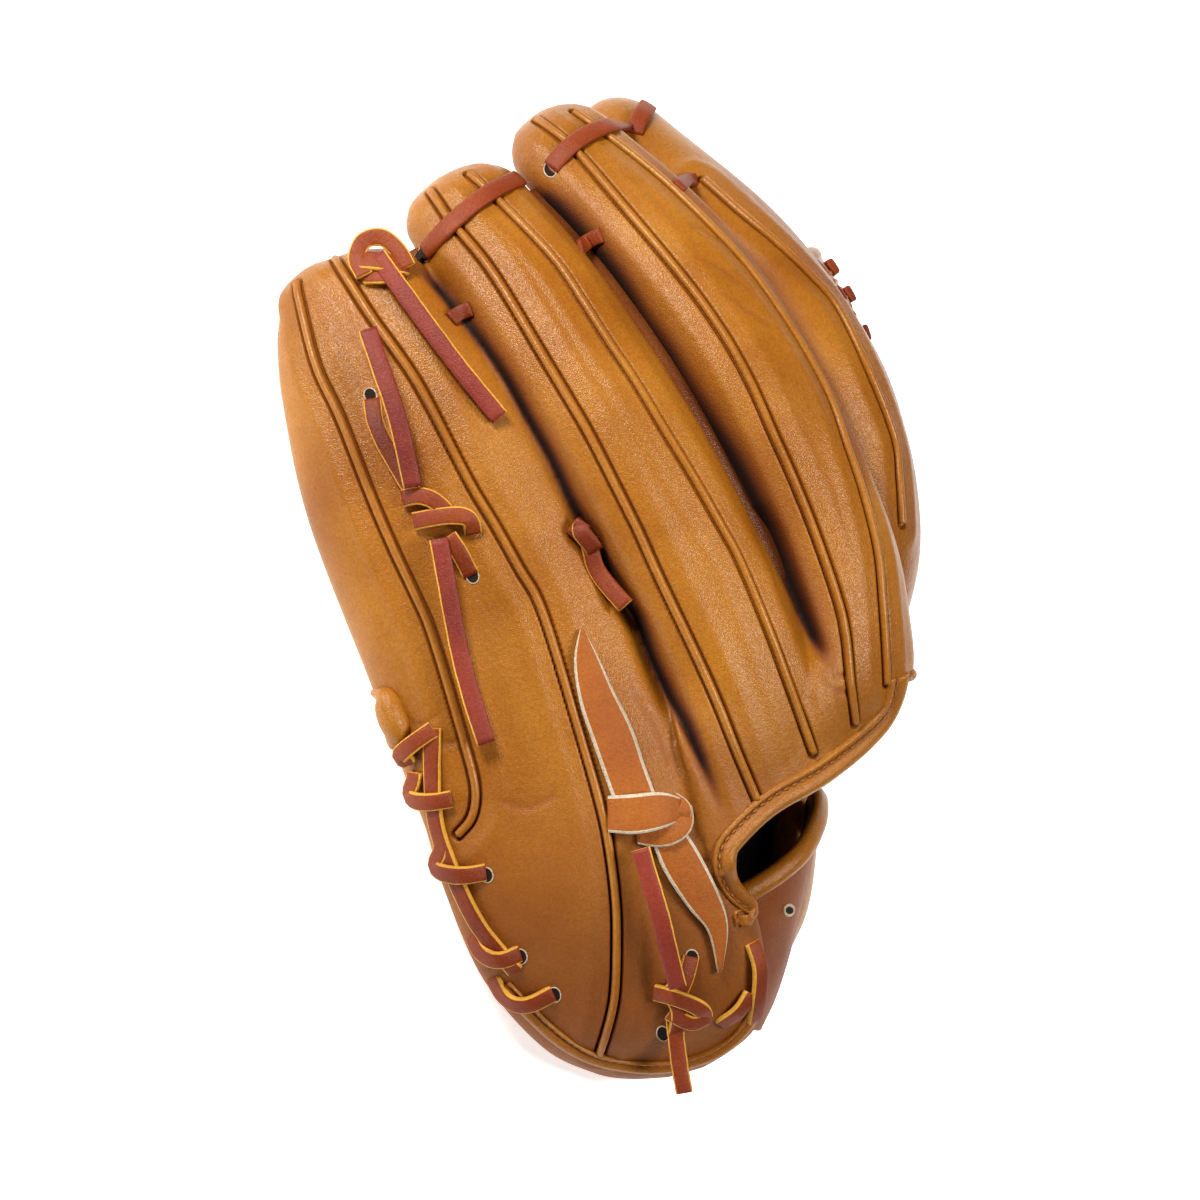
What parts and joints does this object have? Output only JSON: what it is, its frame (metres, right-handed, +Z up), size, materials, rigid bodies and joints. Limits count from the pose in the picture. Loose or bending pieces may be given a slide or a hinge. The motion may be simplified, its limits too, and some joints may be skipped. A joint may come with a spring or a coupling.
{
  "type": "baseball glove",
  "caption": "Fielder's glove for the left hand: five leather stalls laced to a padded palm, a web, and a strap over the wrist.",
  "frame": {"origin": "on the surface that the glove lies on palm down, below the middle of its box", "axes": "+Y towards the fingertips, +X towards the thumb, +Z up out of the back of the glove"},
  "size_m": [0.2147, 0.2919, 0.1032],
  "materials": {
    "leather": "fine pebble grain, soft sheen",
    "lining": "soft, matt",
    "lace": "rawhide lace, oiled, with raw yellow edges",
    "welting": "thin edge leather, soft sheen",
    "stiffener": "matt sheet",
    "felt": "pressed wool felt"
  },
  "bodies": {
    "hand": {"palm_shell": "leather", "palm_pad": "felt", "palm_lining": "lining", "pinky_heel_shell": "leather", "hand_back_shell": "leather", "thumb_heel_shell": "leather", "wrist_strap": "leather", "strap_lining": "lining", "strap_binding": "welting", "back_binding": "welting", "heel_binding": "welting", "pinky_heel_pad": "felt", "thumb_heel_pad": "felt", "pinky_loop": "lining", "thumb_loop": "lining", "pinky_heel_lace": "lace", "thumb_heel_lace": "lace", "strap_lace": "lace", "heel_knot": "lace", "heel_tail": "lace", "loop_strap_upper": "leather", "loop_strap_knot": "leather", "loop_strap_lower": "leather"},
    "fingers": {"pinky_stall": "leather", "ring_stall": "leather", "middle_stall": "leather", "index_stall": "leather", "pinky_lining": "lining", "ring_lining": "lining", "middle_lining": "lining", "index_lining": "lining", "pinky_stiffener": "stiffener", "pinky_welts": "welting", "ring_welts": "welting", "middle_welts": "welting", "index_welts": "welting", "ring_tip_lace": "lace", "middle_tip_lace": "lace", "index_tip_lace": "lace", "cross_laces": "lace", "pinky_tip_knot": "lace", "pinky_tip_tail": "lace", "pinky_stall_knot": "lace", "pinky_stall_upper_tail": "lace", "pinky_stall_lower_tail": "lace", "ring_tie": "lace"},
    "thumb": {"thumb_stall": "leather", "thumb_lining": "lining", "thumb_stiffener": "stiffener", "thumb_welts": "welting"},
    "web": {"web_outer": "leather", "web_inner": "leather"}
  },
  "joints": [
    {"name": "finger_flex", "type": "hinge", "parent": "hand", "child": "fingers", "pos_m": [0, -0.031, 0.03], "axis": [-1, 0, 0], "range_deg": [-3, 12]},
    {"name": "thumb_fold", "type": "hinge", "parent": "hand", "child": "thumb", "pos_m": [0.052, -0.031, 0.045], "axis": [0, 1, 0], "range_deg": [-4, 12]},
    {"name": "web_fold", "type": "hinge", "parent": "thumb", "child": "web", "pos_m": [0.091, 0.03, 0.036], "axis": [0, 1, 0], "range_deg": [-6, 3]}
  ],
  "couplings": [
    {"joint": "web_fold", "follows": "thumb_fold", "ratio": -0.5}
  ]
}
